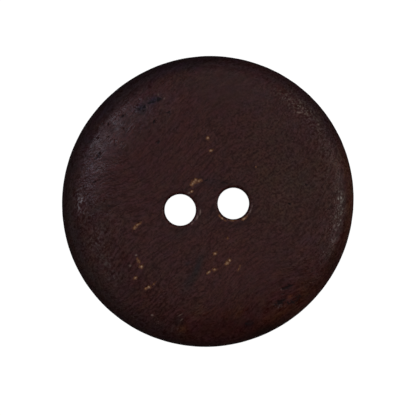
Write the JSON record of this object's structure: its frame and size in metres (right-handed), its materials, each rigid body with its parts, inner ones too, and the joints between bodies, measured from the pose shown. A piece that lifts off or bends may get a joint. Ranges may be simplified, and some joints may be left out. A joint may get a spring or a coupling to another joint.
{
  "type": "sew-on button",
  "caption": "Round turned wooden sew-on button with a softly domed front, a flat back and a pair of sewing holes, stained dark.",
  "frame": {"origin": "centre of the flat back face, which lies against the cloth", "axes": "+Z out of the front face, +X along the line through the two sewing holes"},
  "size_m": [0.0278, 0.0276, 0.0042],
  "materials": {
    "stained_wood": "satin"
  },
  "bodies": {
    "root": {"button_disc": "stained_wood"}
  },
  "joints": []
}
